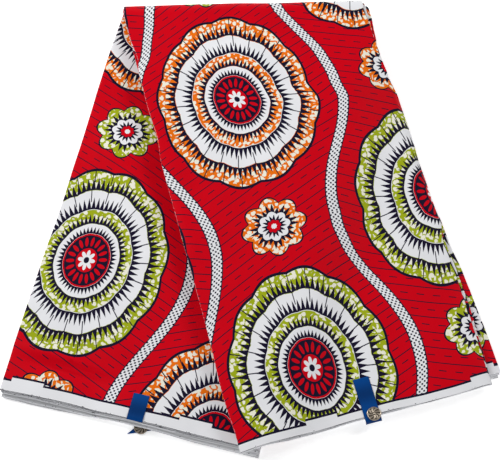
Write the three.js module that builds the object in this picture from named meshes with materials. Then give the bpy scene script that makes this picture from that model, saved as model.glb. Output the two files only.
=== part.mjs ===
// Wax print fabric: a six-yard length of cotton, fan-folded into a stack of panels and then folded
// over once at the middle. The back leg lies on the floor and the front leg splays across it.
//
// Frame: millimetres, +Z up, legs towards -Y, origin at the bottom centre of the bounding box.
// While the shapes are worked out, the fold line is the X axis and the floor is z = 0.

import * as THREE from "three";
import { mergeVertices } from "three/addons/utils/BufferGeometryUtils.js";

// ---- Driving dimensions ---------------------------------------------------------------------

const CLOTH_LENGTH = 5490; // six yards
const CLOTH_WIDTH = 1168; // 46 inches, selvage to selvage
const PANELS = 18; // panels that the length is folded into
const LAYER_PITCH = 0.9; // height that one starched layer takes up in the stack
const SHEET = 1.2; // wall that stands for one visible layer
const SEAM_GAP = 0.3; // clearance between neighbouring solids
const GROUP_GAP = 0.8; // clearance between the two halves of the stack, which slide on each other
const TURN_CORE = 0.6; // radius left open inside the fold
const FRONT_SPLAY = THREE.MathUtils.degToRad(13.2); // front leg, off the fold's normal
const BACK_SPLAY = THREE.MathUtils.degToRad(14.9); // back leg, off the fold's normal
const SAG_REACH = 80; // how far past the back leg the front leg takes to reach the floor
const SAG_START = 4; // how far past the back leg's edge it starts to sink
const LAYER_BUMP = 0.8; // how far a layered edge swells out and in
const TAIL_LIFT = 2.6; // how far the ribbon's tail lifts the end of the back leg
const TAIL_LIFT_ACROSS = { full: 14, none: 63 }; // reach of that lift to each side of the tail
const TAIL_LIFT_ALONG = { none: 60, full: 12 }; // and its reach in from the selvage line

const RIBBON_WIDTH = 19;
const RIBBON_WALL = 1;
const SEAL_RADIUS = 8.4;
const SEAL_WALL = 0.8;
const SEAL_SIDES = 28;

// ---- Sizes that follow from them ------------------------------------------------------------

const PANEL_WIDTH = CLOTH_LENGTH / PANELS;
const HALF_PANEL = PANEL_WIDTH / 2;
const STACK = PANELS * LAYER_PITCH;
const OUTER_RADIUS = STACK + TURN_CORE;
const TURN_HEIGHT = OUTER_RADIUS;
const LEG = (CLOTH_WIDTH - Math.PI * OUTER_RADIUS) / 2;
const SAG = TURN_HEIGHT + TURN_CORE;
const HIDDEN_TOP = SHEET + SEAM_GAP;
const HIDDEN_MIDDLE = STACK / 2;
const HIDDEN_BOTTOM = STACK - SHEET - SEAM_GAP;

// ---- Tables: how far each stretch of cloth stands out from the plain folded strip --------------

// Side edges of the front leg, by distance from the fold line. The outer half of the stack rolls
// over the right-hand side between 160 and 340, and the inner half slides out below that.
const FRONT_EDGES = [
  { at: 0, outerLeft: -3, outerRight: 0, innerLeft: -5, innerRight: 9 },
  { at: 50, outerLeft: -5, outerRight: 2, innerLeft: -3, innerRight: 9 },
  { at: 100, outerLeft: -3, outerRight: 2, innerLeft: -4, innerRight: 4 },
  { at: 165, outerLeft: -2, outerRight: 9, innerLeft: -4, innerRight: 4 },
  { at: 250, outerLeft: -1, outerRight: 8, innerLeft: -4, innerRight: 5 },
  { at: 335, outerLeft: -2, outerRight: 9, innerLeft: -4, innerRight: 8 },
  { at: 375, outerLeft: -2, outerRight: 3, innerLeft: -5, innerRight: 11 },
  { at: 460, outerLeft: -1, outerRight: 2, innerLeft: -6, innerRight: 15 },
  { at: 558, outerLeft: -2, outerRight: 0, innerLeft: -8, innerRight: 17 },
];

// Side edges of the back leg, which lies flat and nearly straight.
const BACK_EDGES = [
  { at: 0, outerLeft: 0, outerRight: 0, innerLeft: 0, innerRight: 4 },
  { at: 85, outerLeft: 1, outerRight: 2, innerLeft: 3, innerRight: 2 },
  { at: 300, outerLeft: 0, outerRight: 2, innerLeft: 1, innerRight: 1 },
  { at: 558, outerLeft: -2, outerRight: 3, innerLeft: 2, innerRight: 2 },
];

// The stretches of cloth: the layers each holds, its side edges, and how far its two ends pass the
// selvage line at the left and right of each leg.
const STRETCHES = [
  {
    name: "outer_panel", edges: "outer", top: 0, bottom: SHEET, bumps: 0,
    frontEnd: { left: 7, right: 2 }, backEnd: { left: 5, right: 8 },
  },
  {
    name: "outer_layers", edges: "outer", top: HIDDEN_TOP, bottom: HIDDEN_MIDDLE - GROUP_GAP / 2, bumps: 3,
    frontEnd: { left: 5, right: 1 }, backEnd: { left: 4, right: 7 },
  },
  {
    name: "inner_layers", edges: "inner", top: HIDDEN_MIDDLE + GROUP_GAP / 2, bottom: HIDDEN_BOTTOM, bumps: 3,
    frontEnd: { left: 4, right: -14 }, backEnd: { left: 2, right: 4 },
  },
  {
    name: "inner_panel", edges: "inner", top: STACK - SHEET, bottom: STACK, bumps: 0,
    frontEnd: { left: 4, right: -14 }, backEnd: { left: 0, right: 1 },
  },
];

// Rows of points along the legs, by distance from the fold line, short of the selvages.
const FRONT_ROWS = [45, 80, 110, 135, 165, 210, 255, 300, 335, 355, 375, 415, 460, 510, 535];
const BACK_ROWS = [45, 110, 200, 290, 380, 470, LEG - 60, LEG - 36, LEG - 12];
const TURN_STEPS = 8;

// Columns of points between a leg's side edges. On the front leg they follow the sag, by distance
// past the back leg's edge. On the back leg they gather round the ribbon's tail.
const SAG_LINES = [4, 17, 30, 44, 58, 71, 84];
const BACK_COLUMNS = [-140.5, -60, -30, -3, 11, 25, 52, 82, 148.5];
const LEFT_MARGIN = 12; // between the strip's left edge and the nearest column
const RIGHT_MARGIN = 4;
const COLUMN_SPACING = 3; // least distance between columns
const COLUMNS = SAG_LINES.length + 4;

// Ribbons: path from the free end inwards, as distance past the end of the panel that the ribbon
// lies on and height over that panel's face.
const FRONT_RIBBON_PATH = [
  { past: 8.2, above: -3.2 },
  { past: 7, above: -0.9 },
  { past: 4.5, above: 0 },
  { past: 0, above: 0 },
  { past: -23, above: 0 },
  { past: -46, above: 0 },
];
const BACK_RIBBON_PATH = [
  { past: 1.4, above: -0.4 },
  { past: 0, above: 0 },
  { past: -14, above: 0 },
  { past: -28, above: 0 },
];

// Places on the legs, across from the leg's middle and along past its selvage line.
const RIBBON_ACROSS = 8; // middle of each ribbon
const TAIL_ACROSS = 11; // middle of the lift that the ribbon's tail gives the back leg
const TAIL_CORNER = { across: 0.5, past: 17 }; // the tail's foremost corner
const FRONT_SEAL = { across: 10.5, past: 5.5 };
const BACK_SEAL = { across: 14.5, past: 5.5 };

const TAIL_SKEW = THREE.MathUtils.degToRad(35); // between the tail and the back leg
const TAIL_LENGTH = 38; // along the tail's left side
const TAIL_CUT = 29; // how much shorter its right side is, as it is cut on the slant

// ---- Geometry of the folded strip -------------------------------------------------------------

const lerp = THREE.MathUtils.lerp;

function smoothstep(from, to, value) {
  return THREE.MathUtils.smoothstep(value, from, to);
}

// A column of a table at any distance from the fold, eased from row to row.
function eased(table, column, at) {
  const next = table.findIndex((row) => row.at > at);
  if (next <= 0) {
    return next === 0 ? table[0][column] : table[table.length - 1][column];
  }
  const a = table[next - 1];
  const b = table[next];
  return lerp(a[column], b[column], smoothstep(a.at, b.at, at));
}

// How far the front leg has sunk where nothing lies under it.
function sag(x, y) {
  const pastBackLeg = x * Math.cos(BACK_SPLAY) - y * Math.sin(BACK_SPLAY) - HALF_PANEL;
  return SAG * smoothstep(SAG_START, SAG_START + SAG_REACH, pastBackLeg);
}

// How far the ribbon's tail lifts the back leg's end.
function tailLift(across, along) {
  const beside = 1 - smoothstep(TAIL_LIFT_ACROSS.full, TAIL_LIFT_ACROSS.none, Math.abs(across - TAIL_ACROSS));
  return TAIL_LIFT * beside * smoothstep(LEG - TAIL_LIFT_ALONG.none, LEG - TAIL_LIFT_ALONG.full, along);
}

// Points of the legs, by distance across and along the leg and by depth below the outermost face.
function onFrontLeg(across, along, depth) {
  const x = across * Math.cos(FRONT_SPLAY) + along * Math.sin(FRONT_SPLAY);
  const y = across * Math.sin(FRONT_SPLAY) - along * Math.cos(FRONT_SPLAY);
  return new THREE.Vector3(x, y, TURN_HEIGHT + OUTER_RADIUS - depth - sag(x, y));
}

function onBackLeg(across, along, depth) {
  const x = across * Math.cos(BACK_SPLAY) - along * Math.sin(BACK_SPLAY);
  const y = -across * Math.sin(BACK_SPLAY) - along * Math.cos(BACK_SPLAY);
  return new THREE.Vector3(x, y, TURN_HEIGHT - OUTER_RADIUS + depth + tailLift(across, along));
}

// A point of the turn that joins the legs, by the turn's angle from the front leg.
function onTurn(acrossFront, acrossBack, angle, depth) {
  const share = (1 - Math.cos(angle)) / 2;
  const x = lerp(acrossFront / Math.cos(FRONT_SPLAY), acrossBack / Math.cos(BACK_SPLAY), share);
  const radius = OUTER_RADIUS - depth;
  const z = TURN_HEIGHT + radius * Math.cos(angle) - (1 - share) * sag(x, 0);
  return new THREE.Vector3(x, radius * Math.sin(angle), z);
}

// Places across the front leg of the columns that all stretches share.
function frontColumns(along) {
  const splay = FRONT_SPLAY + BACK_SPLAY;
  const last = HALF_PANEL - RIGHT_MARGIN;
  const onSag = SAG_LINES.map((line, number) => {
    const across = (HALF_PANEL + line - along * Math.sin(splay)) / Math.cos(splay);
    return Math.min(across, last - COLUMN_SPACING * (SAG_LINES.length - number));
  });
  return [LEFT_MARGIN - HALF_PANEL, ...onSag, last];
}

// Places across the back leg of the same columns.
function backColumns(along) {
  const atFold = frontColumns(0);
  return BACK_COLUMNS.map((across, number) => lerp(atFold[number], across, along / LEG));
}

// The place across of a column, where the first and last are a stretch's own side edges.
function acrossAt(column, shared, stretch, table, along, bump) {
  if (column === 0) {
    return -HALF_PANEL - eased(table, `${stretch.edges}Left`, along) - bump;
  }
  if (column === COLUMNS - 1) {
    return HALF_PANEL + eased(table, `${stretch.edges}Right`, along) + bump;
  }
  return shared(along)[column - 1];
}

// How far a stretch's end passes the selvage line at a place across.
function endShift(end, across) {
  return lerp(end.left, end.right, across / PANEL_WIDTH + 0.5);
}

// The rows of a stretch, from the front leg's selvage, round the turn, to the back leg's selvage.
// Each is a function of the column, the depth and the edge's bump.
function stretchRows(stretch) {
  const legRow = (table, shared, place) => (along) => (column, depth, bump) => {
    return place(acrossAt(column, shared, stretch, table, along, bump), along, depth);
  };
  const endRow = (table, shared, place, end) => (column, depth, bump) => {
    const near = acrossAt(column, shared, stretch, table, LEG, bump);
    const along = LEG + endShift(end, near) + bump;
    return place(acrossAt(column, shared, stretch, table, along, bump), along, depth);
  };
  const turnRow = (angle) => (column, depth, bump) => {
    const front = acrossAt(column, frontColumns, stretch, FRONT_EDGES, 0, bump);
    const back = acrossAt(column, backColumns, stretch, BACK_EDGES, 0, bump);
    return onTurn(front, back, angle, depth);
  };
  const turn = Array.from({ length: TURN_STEPS + 1 }, (_, step) => turnRow((Math.PI * step) / TURN_STEPS));
  return [
    endRow(FRONT_EDGES, frontColumns, onFrontLeg, stretch.frontEnd),
    ...[...FRONT_ROWS].reverse().map(legRow(FRONT_EDGES, frontColumns, onFrontLeg)),
    ...turn,
    ...BACK_ROWS.map(legRow(BACK_EDGES, backColumns, onBackLeg)),
    endRow(BACK_EDGES, backColumns, onBackLeg, stretch.backEnd),
  ];
}

// ---- Closed solids from a warped lattice --------------------------------------------------------

// The outer skin of a block of rows x columns x levels points, where point(i, j, k) places each.
function latticeSkin(rows, columns, levels, point) {
  const positions = [];
  const numbers = new Map();
  const vertex = (i, j, k) => {
    const key = `${i},${j},${k}`;
    if (!numbers.has(key)) {
      numbers.set(key, numbers.size);
      positions.push(...point(i, j, k).toArray());
    }
    return numbers.get(key);
  };
  const index = [];
  const quad = (a, b, c, d) => index.push(a, b, c, a, c, d);
  const lastRow = rows - 1;
  const lastColumn = columns - 1;
  const lastLevel = levels - 1;
  for (let i = 0; i < lastRow; i += 1) {
    for (let j = 0; j < lastColumn; j += 1) {
      quad(vertex(i, j, 0), vertex(i, j + 1, 0), vertex(i + 1, j + 1, 0), vertex(i + 1, j, 0));
      quad(
        vertex(i, j, lastLevel), vertex(i + 1, j, lastLevel),
        vertex(i + 1, j + 1, lastLevel), vertex(i, j + 1, lastLevel),
      );
    }
    for (let k = 0; k < lastLevel; k += 1) {
      quad(vertex(i, 0, k), vertex(i + 1, 0, k), vertex(i + 1, 0, k + 1), vertex(i, 0, k + 1));
      quad(
        vertex(i, lastColumn, k), vertex(i, lastColumn, k + 1),
        vertex(i + 1, lastColumn, k + 1), vertex(i + 1, lastColumn, k),
      );
    }
  }
  for (let j = 0; j < lastColumn; j += 1) {
    for (let k = 0; k < lastLevel; k += 1) {
      quad(vertex(0, j, k), vertex(0, j, k + 1), vertex(0, j + 1, k + 1), vertex(0, j + 1, k));
      quad(
        vertex(lastRow, j, k), vertex(lastRow, j + 1, k),
        vertex(lastRow, j + 1, k + 1), vertex(lastRow, j, k + 1),
      );
    }
  }
  const geometry = new THREE.BufferGeometry();
  geometry.setAttribute("position", new THREE.Float32BufferAttribute(positions, 3));
  geometry.setIndex(index);
  geometry.computeVertexNormals();
  return geometry;
}

// ---- Cloth --------------------------------------------------------------------------------------

const cottonFace = new THREE.MeshStandardMaterial({ color: 0xd0021b, roughness: 0.55, metalness: 0 });
const cottonEdge = new THREE.MeshStandardMaterial({ color: 0xe9e9ee, roughness: 0.7, metalness: 0 });
const satin = new THREE.MeshStandardMaterial({ color: 0x0b3f8c, roughness: 0.35, metalness: 0 });
const foil = new THREE.MeshStandardMaterial({ color: 0xb9974a, roughness: 0.3, metalness: 0.9 });

function clothStretch(stretch) {
  const rows = stretchRows(stretch);
  const levels = stretch.bumps === 0 ? 2 : 2 * stretch.bumps + 1;
  const geometry = latticeSkin(rows.length, COLUMNS, levels, (i, j, k) => {
    const depth = lerp(stretch.top, stretch.bottom, k / (levels - 1));
    const grooved = stretch.bumps > 0 && k % 2 === 0;
    return rows[i](j, depth, grooved ? -LAYER_BUMP : 0);
  });
  const mesh = new THREE.Mesh(geometry, stretch.bumps === 0 ? cottonFace : cottonEdge);
  mesh.name = stretch.name;
  return mesh;
}

// ---- Ribbons and seals --------------------------------------------------------------------------

// A ribbon laid on a leg along a path that runs off the leg's end.
function ribbon(name, path, place) {
  const ribbonColumns = 4;
  const geometry = latticeSkin(path.length, ribbonColumns, 2, (i, j, k) => {
    const across = RIBBON_ACROSS + RIBBON_WIDTH * (j / (ribbonColumns - 1) - 0.5);
    const height = path[i].above + SEAM_GAP + (k === 0 ? RIBBON_WALL : 0);
    return place(across, path[i].past, height);
  });
  const mesh = new THREE.Mesh(geometry, satin);
  mesh.name = name;
  return mesh;
}

function endOf(stretchName, end, across) {
  const stretch = STRETCHES.find(({ name }) => name === stretchName);
  return LEG + endShift(stretch[end], across);
}

function frontRibbon() {
  return ribbon("ribbon_front", FRONT_RIBBON_PATH, (across, past, height) => {
    const end = endOf("outer_panel", "frontEnd", RIBBON_ACROSS);
    return onFrontLeg(across, end + past, -height);
  });
}

function backRibbon() {
  return ribbon("ribbon_back", BACK_RIBBON_PATH, (across, past, height) => {
    const end = endOf("inner_panel", "backEnd", RIBBON_ACROSS);
    return onBackLeg(across, end + past, STACK + height);
  });
}

// The flat tail lies askew on the floor and comes out from under the back leg's end. Its corners
// are counted aside and back from the foremost one.
function backRibbonTail() {
  const corner = (aside, back, height) => {
    const across = TAIL_CORNER.across + aside * Math.cos(TAIL_SKEW) + back * Math.sin(TAIL_SKEW);
    const past = TAIL_CORNER.past + aside * Math.sin(TAIL_SKEW) - back * Math.cos(TAIL_SKEW);
    return onBackLeg(across, LEG + past, 0).setZ(height);
  };
  const geometry = latticeSkin(2, 2, 2, (i, j, k) => {
    const freeEnd = j * TAIL_CUT;
    return corner(j * RIBBON_WIDTH, i === 0 ? freeEnd : TAIL_LENGTH, k === 0 ? RIBBON_WALL : 0);
  });
  const mesh = new THREE.Mesh(geometry, satin);
  mesh.name = "ribbon_back_tail";
  return mesh;
}

function seal(name, centre) {
  const bevel = SEAL_WALL / 3;
  const profile = [
    new THREE.Vector2(0, 0),
    new THREE.Vector2(SEAL_RADIUS, 0),
    new THREE.Vector2(SEAL_RADIUS, SEAL_WALL - bevel),
    new THREE.Vector2(SEAL_RADIUS - bevel, SEAL_WALL),
    new THREE.Vector2(0, SEAL_WALL),
  ];
  const geometry = new THREE.LatheGeometry(profile, SEAL_SIDES);
  geometry.deleteAttribute("normal");
  geometry.deleteAttribute("uv");
  geometry.rotateX(Math.PI / 2);
  const disc = mergeVertices(geometry);
  disc.computeVertexNormals();
  const mesh = new THREE.Mesh(disc, foil);
  mesh.name = name;
  mesh.position.copy(centre);
  return mesh;
}

function frontSeal() {
  const lift = 2 * SEAM_GAP + RIBBON_WALL;
  return seal("seal_front", onFrontLeg(FRONT_SEAL.across, LEG + FRONT_SEAL.past, -lift));
}

function backSeal() {
  const centre = onBackLeg(BACK_SEAL.across, LEG + BACK_SEAL.past, 0);
  return seal("seal_back", centre.setZ(RIBBON_WALL + SEAM_GAP));
}

// ---- The whole object ---------------------------------------------------------------------------

const fabric = new THREE.Group();
fabric.add(...STRETCHES.map(clothStretch));
fabric.add(frontRibbon(), backRibbon(), backRibbonTail(), frontSeal(), backSeal());

const box = new THREE.Box3().setFromObject(fabric);
const middle = box.getCenter(new THREE.Vector3());
fabric.position.set(-middle.x, -middle.y, -box.min.z);

export default fabric;
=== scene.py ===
"""Wax print fabric: six yards of cotton, doubled, fan-folded into a stack and folded over once.

The front leg of the stack splays across the back leg. Layers are numbered from 1, the outermost,
which is the front leg's top face and the back leg's underside, to 18, the innermost, which is the
back leg's top face. Sizes are in metres.
"""

import math
import random

import bpy
import numpy as np
from mathutils import Euler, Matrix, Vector


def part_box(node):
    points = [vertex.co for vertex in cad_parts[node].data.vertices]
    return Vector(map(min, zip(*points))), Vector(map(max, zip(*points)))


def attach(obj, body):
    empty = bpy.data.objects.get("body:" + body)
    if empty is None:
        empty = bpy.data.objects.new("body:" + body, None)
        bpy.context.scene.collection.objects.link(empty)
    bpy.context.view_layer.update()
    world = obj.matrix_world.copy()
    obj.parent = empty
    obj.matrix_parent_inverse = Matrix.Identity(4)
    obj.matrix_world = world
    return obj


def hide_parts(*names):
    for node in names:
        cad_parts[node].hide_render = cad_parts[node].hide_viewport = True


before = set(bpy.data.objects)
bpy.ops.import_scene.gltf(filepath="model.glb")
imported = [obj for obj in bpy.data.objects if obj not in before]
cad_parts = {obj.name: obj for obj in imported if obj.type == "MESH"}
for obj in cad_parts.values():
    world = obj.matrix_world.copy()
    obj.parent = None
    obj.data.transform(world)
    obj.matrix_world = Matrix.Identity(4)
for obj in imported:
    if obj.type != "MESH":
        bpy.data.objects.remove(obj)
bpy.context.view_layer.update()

MM = 0.001

# ---- Sizes of the folded cloth ----

CLOTH_LENGTH = 5490 * MM
CLOTH_WIDTH = 1168 * MM
LAYERS = 18
PANELS = LAYERS // 2
PANEL_WIDTH = CLOTH_LENGTH / LAYERS
HALF_PANEL = PANEL_WIDTH / 2
LAYER_PITCH = 0.9 * MM  # one layer with the air under it
STACK = LAYERS * LAYER_PITCH
TURN_CORE = 0.6 * MM  # radius of the turn's innermost layer
OUTER_RADIUS = STACK + TURN_CORE  # and the height of the turn's axis
UNDERSIDE = OUTER_RADIUS + TURN_CORE  # how high the front leg lies before it sags
LEG = (CLOTH_WIDTH - math.pi * OUTER_RADIUS) / 2  # from the fold line to the selvages
FRONT_SPLAY = math.radians(13.2)
BACK_SPLAY = math.radians(14.9)

# A span gives where something starts and where it is full.
SAG_SPAN = (4 * MM, 84 * MM)  # past the back leg's side, where the front leg sags to the floor
TURN_BULGE = 4.5 * MM
TURN_SWELL = 2.5 * MM  # how much further the turn bulges towards its left end
TURN_SWELL_SPAN = (40 * MM, -20 * MM)
EDGE_DROOP = 5 * MM  # how far the front leg's right edge hangs, near its end
DROOP_ACROSS = (-10 * MM, 20 * MM)  # past the strip's side
DROOP_ALONG = (290 * MM, 400 * MM)
TAIL_LIFT = 2.6 * MM  # how far the ribbon's tail lifts the back leg's end
TAIL_ACROSS = 11 * MM  # the middle of that lift
LIFT_ASIDE = (63 * MM, 14 * MM)  # to each side of it
LIFT_BEFORE_END = (60 * MM, 12 * MM)

SHELL = 0.4 * MM  # thickness of one layer
SELVAGE_SWELL = 0.34 * MM  # how much thicker it is along its selvages
SELVAGE_SWELL_SPAN = (20 * MM, 6 * MM)  # from the selvage
PLY_GAP = 0.6  # share of room between the two plies of a panel, which are pressed together
PANEL_GAP = 0.8  # share of room between panels
GROUP_GAP = 1.3  # and between the two halves of the stack
GROUP_SPLIT = 8  # the last layer of the outer half

RIBBON_WIDTH = 19 * MM
RIBBON_SHELL = 0.35 * MM
RIBBON_LIFT = 0.8 * MM  # middle of the ribbon's wall, over the face it lies on
RIBBON_ACROSS = 8 * MM
RIBBON_CURL = 0.125 * MM  # how far its two sides bend down
TAIL_CORNER = (0.5 * MM, 17 * MM)  # the tail's foremost corner, across and past the selvage line
TAIL_SKEW = math.radians(35)
TAIL_LENGTH = 38 * MM  # along its left side
TAIL_CUT = 29 * MM  # how much shorter its right side is, as it is cut on the slant
TAIL_CLEARANCE = 0.3 * MM  # under it
TAIL_RISE = 0.3 * MM  # how much higher its free end lies
TAIL_RISE_SPAN = (8 * MM, 16 * MM)  # past the selvage line
SEAL_RADIUS = 8.4 * MM
FRONT_SEAL_ACROSS = 10.5 * MM
FRONT_SEAL_ALONG = 5.5 * MM

# ---- Tables ----


def table(columns, *rows):
    """A short table as a dict of columns, its numbers turned from millimetres into metres."""
    return dict(zip(columns.split(), np.array(rows, dtype=float).T * MM))


EDGES = "outermost second middle fourth innermost"
# How far each of the stack's five edges stands out past the plain strip, by distance from the
# fold line, counted from the outermost: top to floor on the front leg, floor to top on the back.
FRONT_LEFT = table(
    "at " + EDGES,
    (0, -4, -4, -5, -5, -6),
    (32, -6.4, -3.4, -4, -4, -5),
    (58, -3.2, -3.4, -4.5, -4, -4),
    (106, -2.6, -3.5, -3.5, -4.4, -4),
    (155, -4.4, -3.8, -4.6, -4.2, -4.8),
    (190, -1, -2.4, -3.4, -3, -4.4),
    (286, -1.2, -2.2, -2.6, -3.6, -4),
    (341, -1.6, -2.6, -3.2, -4, -4.6),
    (414, -1.8, -2.4, -3, -4.2, -5),
    (500, 0.3, -1.4, -2, -4.4, -6),
    (560, -2.2, -2.6, -3, -6, -8),
)
FRONT_RIGHT = table(
    "at " + EDGES,
    (0, 0.6, 6.6, 11.6, 10.6, 7.6),
    (40, 4, 7.6, 12.4, 10.6, 7.6),
    (72, 4.6, 6, 9.2, 7.2, 4.6),
    (105, 5.6, 3, 4.6, 1.6, 0.6),
    (140, 7.8, 1.6, 4.6, 1.6, 0.6),
    (164, 13.6, 1.6, 4.6, 2.6, 0.6),
    (218, 13.4, 1.6, 5.6, 3.6, 1.6),
    (263, 11, 1.6, 6.2, 4.6, 2.6),
    (320, 10.6, 3.6, 9.6, 7.6, 4.6),
    (345, 9.6, 7.6, 12, 10.6, 7.6),
    (375, 4, 7.2, 12.4, 11, 8.6),
    (415, 4.8, 8.6, 15.9, 13.6, 10.6),
    (456, 4, 8.6, 17.1, 15.6, 12.6),
    (509, 2.7, 5.6, 18.2, 16.6, 13.6),
    (560, 0.8, 2.6, 18, 16.6, 14.6),
)
BACK_LEFT = table(
    "at " + EDGES,
    (0, -2, -1, -1, 0, 0),
    (58, -1, 0.6, 1, 1.4, 2.6),
    (85, -0.6, 0.4, 1.4, 2, 3),
    (238, -1, -0.6, 0, 0.6, 1.6),
    (309, -1.6, -0.4, 0, 0.2, 0.9),
    (400, -0.4, 1.2, 1.4, 2.2, 3),
    (480, 0.4, 2, 1.8, 2.8, 3.6),
    (560, -0.8, 2.2, 1.2, 2.2, 3.2),
)
BACK_RIGHT = table(
    "at " + EDGES,
    (0, 0, 1, 3, 3, 4),
    (85, 2, 0, 1, 3, 2),
    (300, 2, 3, 0, 1, 1),
    (450, 1, 2, 3, 0, 2),
    (560, 3, 1, 2, 3, 1),
)

# How far the selvages pass the line at the leg's end, by place across, for some of the layers.
LAYER_MARKS = {"first": 1, "fourth": 4, "eighth": 8, "ninth": 9, "last": 18}
# Layers lie in bands with level selvages: a band's last layer, and the number looked up for it.
BANDS = ((4, 1.5), (8, 7), (12, 10), (16, 14), (18, 18))
FRONT_ENDS = table(
    "across first fourth eighth ninth last",
    (-153, 14.2, 13.8, 13.2, 5.4, 5.2),
    (-117, 11.7, 11.9, 11.4, 3.6, 3),
    (-93, 10.4, 12, 12.4, 2.2, 1.2),
    (-70, 8.7, 10.2, 10.4, 0.8, -0.4),
    (-47, 6.6, 8, 8.2, -0.6, -2),
    (-15, 5.6, 6.2, 5.8, -2.6, -4.4),
    (40, 5.9, 6.8, 6.8, -5.4, -8),
    (75, 7.2, 6.8, 6.2, -7.6, -10.4),
    (111, 6.6, 6.2, 5.6, -8.4, -12.6),
    (153, 5.2, 5.2, 4.8, -8.6, -4),
)
BACK_ENDS = table(
    "across first fourth eighth ninth last",
    (-153, 7, 8, 6.4, 4, 1.6),
    (-120, 8, 8.4, 7, 4, 1.4),
    (-93, 7.2, 7.6, 6.4, 3.6, 1.2),
    (-25, 5.8, 6.8, 6.4, 4.6, 2.6),
    (50, 7.2, 8.2, 7.6, 5.4, 3.8),
    (100, 9.4, 10.2, 9.2, 6.8, 4.6),
    (153, 10.8, 11.4, 10, 7.4, 4.8),
)

# Soft troughs (negative) and ridges pressed into the legs by hand: a line from one end to the
# other, its width to each side and its depth, in the leg's across and along.
FRONT_CREASES = table(
    "across along to_across to_along width depth",
    (-151, 50, -140, 330, 30, 3.6),
    (60, 120, 148, 205, 16, -0.5),
    (96, 96, 140, 250, 10, 0.6),
    (-140, 300, -60, 330, 15, -0.35),
    (-100, 470, 10, 440, 16, 0.4),
    (40, 380, 130, 420, 13, -0.4),
    (110, 445, 148, 540, 12, 0.5),
)
BACK_CREASES = table(
    "across along to_across to_along width depth",
    (-146, 20, 60, 430, 40, -5.4),
    (-143, 502, -36, 511, 11, 5),
    (-146, 519, -30, 527, 9, -1.8),
    (-108, 487, -54, 494, 8, -1.2),
    (-140, 400, -40, 404, 15, 0.45),
    (-150, 505, -60, 530, 15, -0.45),
    (-150, 250, -90, 235, 15, 0.4),
    (-145, 120, -118, 250, 11, -0.35),
)
# A crease fades in and out over these shares of its length, and its width sways on the way.
CREASE_FADES = ((-0.25, 0.3), (1.2, 0.6))
CREASE_WIDTH, CREASE_SWAY, CREASE_TURNS = 0.8, 0.3, 5

# The broad waves of the legs: a height, then two sines, each with its shares of the distances
# across and along, its pitch and its phase. Heights and pitches are in millimetres.
WAVES = (
    (0.3, (1, 0, 31, 1.1), (0, 1, 47, 0.4)),
    (0.3, (1, 0.6, 17, 0), (0, 0, 1, math.pi / 2)),
    (0.4, (1, -1.7, 21, 2), (2, 1, 37, 0)),
)

# Where the front leg's uppermost layers roll over the right-hand side of the stack.
ROLL_SPANS = ((138 * MM, 170 * MM), (362 * MM, 318 * MM))
ROLL_ANGLE = math.radians(78)
ROLL_ONSET = 0.02  # share of the roll from which the crest lies at the bend's end
ROLL_RADIUS = 9 * MM
ROLLED_LAYERS = 4

# ---- Folding the strip ----


def ease(low, high, value):
    """0 below low, 1 above high, and a smooth step between them."""
    share = np.clip((value - low) / (high - low), 0.0, 1.0)
    return share * share * (3 - 2 * share)


def over_both(spans, value):
    """1 between two spans, 0 outside them, and a smooth step over each."""
    return ease(*spans[0], value) * ease(*spans[1], value)


def lerp(a, b, share):
    return a + (b - a) * share


def eased(rows, column, at):
    """A column of a table at any distance, eased from row to row."""
    place = np.clip(np.searchsorted(rows["at"], at, side="right") - 1, 0, len(rows["at"]) - 2)
    share = ease(rows["at"][place], rows["at"][place + 1], at)
    return lerp(rows[column][place], rows[column][place + 1], share)


def sag(x, y):
    """How far the front leg has sunk where nothing lies under it."""
    past_back_leg = x * math.cos(BACK_SPLAY) - y * math.sin(BACK_SPLAY) - HALF_PANEL
    return UNDERSIDE * ease(*SAG_SPAN, past_back_leg)


def tail_lift(across, along):
    beside = ease(*LIFT_ASIDE, np.abs(across - TAIL_ACROSS))
    return TAIL_LIFT * beside * ease(*LIFT_BEFORE_END, LEG - along)


def wave(across, along, by_across, by_along, pitch, phase):
    return np.sin((by_across * across + by_along * along) / (pitch * MM) + phase)


def relief(creases, across, along):
    """The height of the pressed creases and of the broad, shallow waves between them."""
    height = 0.0
    for rise, first, second in WAVES:
        height = height + rise * MM * wave(across, along, *first) * wave(across, along, *second)
    for number, row in enumerate(zip(*creases.values())):
        from_across, from_along, to_across, to_along, width, depth = row
        length = math.hypot(to_across - from_across, to_along - from_along)
        over, down = (to_across - from_across) / length, (to_along - from_along) / length
        forward = ((across - from_across) * over + (along - from_along) * down) / length
        aside = (across - from_across) * down - (along - from_along) * over
        width = width * (CREASE_WIDTH + CREASE_SWAY * np.sin(CREASE_TURNS * forward + number))
        fade = over_both(CREASE_FADES, forward)
        height = height + depth * fade * np.exp(-2 * (aside / width) ** 2)
    return height


def on_front_leg(across, along, depth):
    """Points of the front leg, by distance across and along it and depth below its top face."""
    x = across * math.cos(FRONT_SPLAY) + along * math.sin(FRONT_SPLAY)
    y = across * math.sin(FRONT_SPLAY) - along * math.cos(FRONT_SPLAY)
    droop = EDGE_DROOP * ease(*DROOP_ACROSS, across - HALF_PANEL) * ease(*DROOP_ALONG, along)
    height = STACK - depth
    height = height * (1 + (relief(FRONT_CREASES, across, along) - droop) / STACK)
    return np.stack([x, y, UNDERSIDE + height - sag(x, y)], axis=-1)


def on_back_leg(across, along, depth):
    """Points of the back leg. Depth is measured from its underside up."""
    x = across * math.cos(BACK_SPLAY) - along * math.sin(BACK_SPLAY)
    y = -across * math.sin(BACK_SPLAY) - along * math.cos(BACK_SPLAY)
    height = depth * (1 + relief(BACK_CREASES, across, along) / STACK)
    return np.stack([x, y, height + tail_lift(across, along)], axis=-1)


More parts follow.
